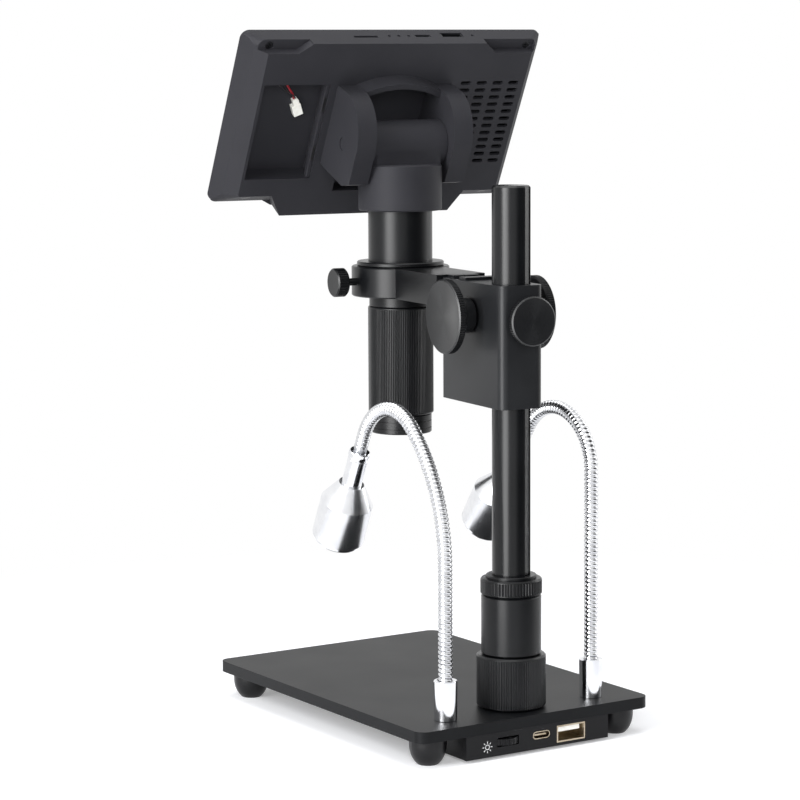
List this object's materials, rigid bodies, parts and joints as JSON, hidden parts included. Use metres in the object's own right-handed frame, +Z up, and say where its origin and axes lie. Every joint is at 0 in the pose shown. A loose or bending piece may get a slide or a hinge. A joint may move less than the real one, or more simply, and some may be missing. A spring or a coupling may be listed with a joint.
{
  "type": "lcd digital microscope",
  "caption": "Bench digital microscope: stage plate, column, rack-and-pinion focus carriage, camera barrel, tilting screen and gooseneck lamps.",
  "frame": {"origin": "centre of the stage plate's top face", "axes": "+Z up, +Y to the rear where the column stands, +X to the left of the picture"},
  "size_m": [0.1545, 0.1819, 0.3056],
  "materials": {
    "plate": "satin",
    "rubber": "matt",
    "steel": "satin",
    "chrome": "polished",
    "black_metal": "satin",
    "black_plastic": "fine grain",
    "gloss_black": "gloss",
    "white_plastic": "matt",
    "board": "lacquered",
    "brass": "satin",
    "aluminium": "satin",
    "glass": "clear",
    "goose": "ribbed",
    "lens_white": "frosted"
  },
  "bodies": {
    "base": {"stage_plate": "plate", "rubber_feet": "rubber", "foot_screws": "steel", "control_box": "black_plastic", "rear_panel": "black_plastic", "control_board": "board", "usb_a_shell": "steel", "usb_a_tongue": "white_plastic", "usb_c_socket": "steel", "dimmer_pot": "black_plastic", "lamp_ferrules": "chrome", "column_rod": "black_metal", "column_bolt": "steel", "column_sleeve": "black_metal"},
    "dimmer": {"dimmer_wheel": "black_plastic"},
    "lock_ring": {"base_ring": "black_metal"},
    "collar": {"collar_nut": "black_metal"},
    "carriage": {"carriage_block": "black_metal", "guide_key": "steel", "shaft_bushes": "brass"},
    "clamp": {"clamp_knob": "black_plastic"},
    "focus": {"pinion_shaft": "steel", "focus_knobs": "black_metal"},
    "arm": {"rack_slide": "black_metal", "focus_arm": "black_metal", "arm_screws": "steel"},
    "thumb": {"ring_screw": "black_metal"},
    "camera": {"camera_tube": "black_metal", "tube_flange": "black_metal", "lens_barrel": "black_metal", "lens_hood": "black_metal", "lenses": "glass", "sensor_board": "board", "camera_cap": "black_plastic"},
    "zoom_ring": {"focus_ring": "black_metal"},
    "screen": {"hinge_pin": "steel", "screen_shell": "black_plastic", "screen_bezel": "black_plastic", "cover_glass": "gloss_black", "lcd_panel": "gloss_black", "main_board": "board", "top_sockets": "steel", "shell_screws": "steel", "battery_connector": "white_plastic"},
    "button_1": {"menu_button_1": "black_plastic"},
    "button_2": {"menu_button_2": "black_plastic"},
    "button_3": {"menu_button_3": "black_plastic"},
    "button_4": {"menu_button_4": "black_plastic"},
    "button_5": {"menu_button_5": "black_plastic"},
    "button_6": {"menu_button_6": "black_plastic"},
    "lamp_arm_left": {"gooseneck_left": "goose", "ball_end_left": "steel"},
    "lamp_head_left": {"lamp_neck_left": "chrome", "lamp_housing_left": "chrome", "lamp_optics_left": "lens_white"},
    "lamp_arm_right": {"gooseneck_right": "goose", "ball_end_right": "steel"},
    "lamp_head_right": {"lamp_neck_right": "chrome", "lamp_housing_right": "chrome", "lamp_optics_right": "lens_white"}
  },
  "joints": [
    {"name": "dimmer_turn", "type": "hinge", "parent": "base", "child": "dimmer", "pos_m": [0.01575, 0.0787, 0], "axis": [0, 0, 1], "range_deg": [-135, 135]},
    {"name": "lock_ring_turn", "type": "hinge", "parent": "base", "child": "lock_ring", "pos_m": [0, 0.065, 0], "axis": [0, 0, 1], "range_deg": [0, 120]},
    {"name": "collar_turn", "type": "hinge", "parent": "base", "child": "collar", "pos_m": [0, 0.065, 0], "axis": [0, 0, 1], "range_deg": [0, 120]},
    {"name": "carriage_slide", "type": "slide", "parent": "base", "child": "carriage", "axis": [0, 0, 1], "range_m": [-0.06, 0.04]},
    {"name": "clamp_turn", "type": "hinge", "parent": "carriage", "child": "clamp", "pos_m": [0, 0.065, 0.1673], "axis": [0.1132, 0.9936, 0], "range_deg": [0, 270]},
    {"name": "arm_slide", "type": "slide", "parent": "carriage", "child": "arm", "axis": [0, 0, 1], "range_m": [-0.01, 0.026]},
    {"name": "focus_turn", "type": "hinge", "parent": "carriage", "child": "focus", "pos_m": [-0.00204, 0.04712, 0.1673], "axis": [0.9936, -0.1132, 0], "range_deg": [-214, 83]},
    {"name": "thumb_turn", "type": "hinge", "parent": "arm", "child": "thumb", "pos_m": [-0.01186, -0.03913, 0.176], "axis": [0.9936, -0.1132, 0], "range_deg": [0, 270]},
    {"name": "camera_turn", "type": "hinge", "parent": "arm", "child": "camera", "pos_m": [-0.01186, -0.03913, 0.17], "axis": [0, 0, 1], "range_deg": [-90, 90]},
    {"name": "focus_ring_turn", "type": "hinge", "parent": "camera", "child": "zoom_ring", "pos_m": [-0.01186, -0.03913, 0.14], "axis": [0, 0, 1], "range_deg": [-90, 90]},
    {"name": "screen_tilt", "type": "hinge", "parent": "camera", "child": "screen", "pos_m": [-0.01186, -0.03913, 0.2381], "axis": [-0.9936, 0.1132, 0], "range_deg": [-20, 45]},
    {"name": "button_1_press", "type": "slide", "parent": "screen", "child": "button_1", "axis": [0.0985, 0.8648, -0.4924], "range_m": [0, 0.0006], "stiffness_N_per_m": 400, "springref_m": -0.0004},
    {"name": "button_2_press", "type": "slide", "parent": "screen", "child": "button_2", "axis": [0.0985, 0.8648, -0.4924], "range_m": [0, 0.0006], "stiffness_N_per_m": 400, "springref_m": -0.0004},
    {"name": "button_3_press", "type": "slide", "parent": "screen", "child": "button_3", "axis": [0.0985, 0.8648, -0.4924], "range_m": [0, 0.0006], "stiffness_N_per_m": 400, "springref_m": -0.0004},
    {"name": "button_4_press", "type": "slide", "parent": "screen", "child": "button_4", "axis": [0.0985, 0.8648, -0.4924], "range_m": [0, 0.0006], "stiffness_N_per_m": 400, "springref_m": -0.0004},
    {"name": "button_5_press", "type": "slide", "parent": "screen", "child": "button_5", "axis": [0.0985, 0.8648, -0.4924], "range_m": [0, 0.0006], "stiffness_N_per_m": 400, "springref_m": -0.0004},
    {"name": "button_6_press", "type": "slide", "parent": "screen", "child": "button_6", "axis": [0.0985, 0.8648, -0.4924], "range_m": [0, 0.0006], "stiffness_N_per_m": 400, "springref_m": -0.0004},
    {"name": "lamp_swing_left", "type": "hinge", "parent": "base", "child": "lamp_arm_left", "pos_m": [-0.038, 0.071, 0.01], "axis": [0, 0, 1], "range_deg": [-90, 5]},
    {"name": "lamp_nod_left", "type": "hinge", "parent": "lamp_arm_left", "child": "lamp_head_left", "pos_m": [-0.038, 0.01744, 0.10319], "axis": [1, 0, 0], "range_deg": [-10, 20]},
    {"name": "lamp_swing_right", "type": "hinge", "parent": "base", "child": "lamp_arm_right", "pos_m": [0.038, 0.071, 0.01], "axis": [0, 0, 1], "range_deg": [-5, 90]},
    {"name": "lamp_nod_right", "type": "hinge", "parent": "lamp_arm_right", "child": "lamp_head_right", "pos_m": [0.038, 0.00519, 0.10766], "axis": [1, 0, 0], "range_deg": [-10, 20]}
  ],
  "couplings": [
    {"joint": "focus_turn", "follows": "arm_slide", "rad_per_m": -142.86}
  ]
}
